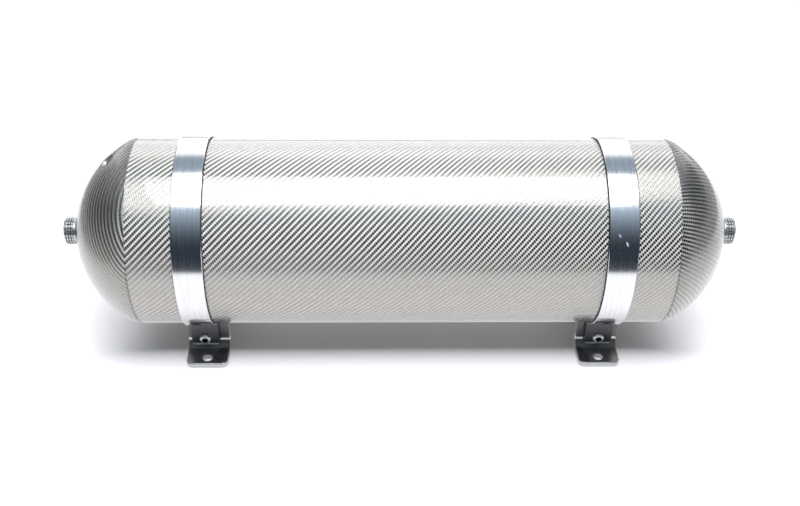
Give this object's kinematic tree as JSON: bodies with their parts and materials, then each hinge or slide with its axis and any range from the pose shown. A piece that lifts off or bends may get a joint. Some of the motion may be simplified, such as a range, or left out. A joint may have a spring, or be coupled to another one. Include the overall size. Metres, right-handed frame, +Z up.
{
  "type": "air tank",
  "caption": "Horizontal round air tank with domed ends in a coated cloth skin, on feet clamped by metal straps, with knurled plugs in its end ports.",
  "frame": {"origin": "floor plane under the middle of the tank", "axes": "+X along the tank's axis, away from the end with the shoulder port; -Y the front; +Z up"},
  "size_m": [0.6096, 0.173, 0.1965],
  "materials": {
    "vessel": "satin spun metal",
    "coated_cloth": "silver twill cloth under clear gloss resin",
    "strap": "bright, lightly brushed",
    "liner": "matt",
    "seal": "matt",
    "bracket": "polished stainless",
    "plug": "bright turned metal",
    "hardware": "bright stainless"
  },
  "bodies": {
    "tank": {"tank_shell": "vessel", "barrel_wrap": "coated_cloth", "left_dome_wrap": "coated_cloth", "right_dome_wrap": "coated_cloth", "left_strap": "strap", "left_strap_liner": "liner", "left_front_foot": "bracket", "left_front_screw": "hardware", "left_front_nut": "hardware", "left_rear_foot": "bracket", "left_rear_screw": "hardware", "left_rear_nut": "hardware", "right_strap": "strap", "right_strap_liner": "liner", "right_front_foot": "bracket", "right_front_screw": "hardware", "right_front_nut": "hardware", "right_rear_foot": "bracket", "right_rear_screw": "hardware", "right_rear_nut": "hardware", "shoulder_plug": "plug"},
    "left_seal": {"left_plug_seal": "seal"},
    "left_plug": {"left_end_plug": "plug"},
    "right_seal": {"right_plug_seal": "seal"},
    "right_plug": {"right_end_plug": "plug"}
  },
  "joints": [
    {"name": "left_plug_travel", "type": "slide", "parent": "tank", "child": "left_seal", "axis": [-1, 0, 0], "range_m": [0, 0.0091]},
    {"name": "left_plug_turn", "type": "hinge", "parent": "left_seal", "child": "left_plug", "pos_m": [-0.3, 0, 0.11], "axis": [-1, 0, 0], "range_deg": [0, 1800]},
    {"name": "right_plug_travel", "type": "slide", "parent": "tank", "child": "right_seal", "axis": [1, 0, 0], "range_m": [0, 0.0091]},
    {"name": "right_plug_turn", "type": "hinge", "parent": "right_seal", "child": "right_plug", "pos_m": [0.3, 0, 0.11], "axis": [1, 0, 0], "range_deg": [0, 1800]}
  ],
  "couplings": [
    {"joint": "left_plug_travel", "follows": "left_plug_turn", "m_per_rad": 0.00028871},
    {"joint": "right_plug_travel", "follows": "right_plug_turn", "m_per_rad": 0.00028871}
  ]
}
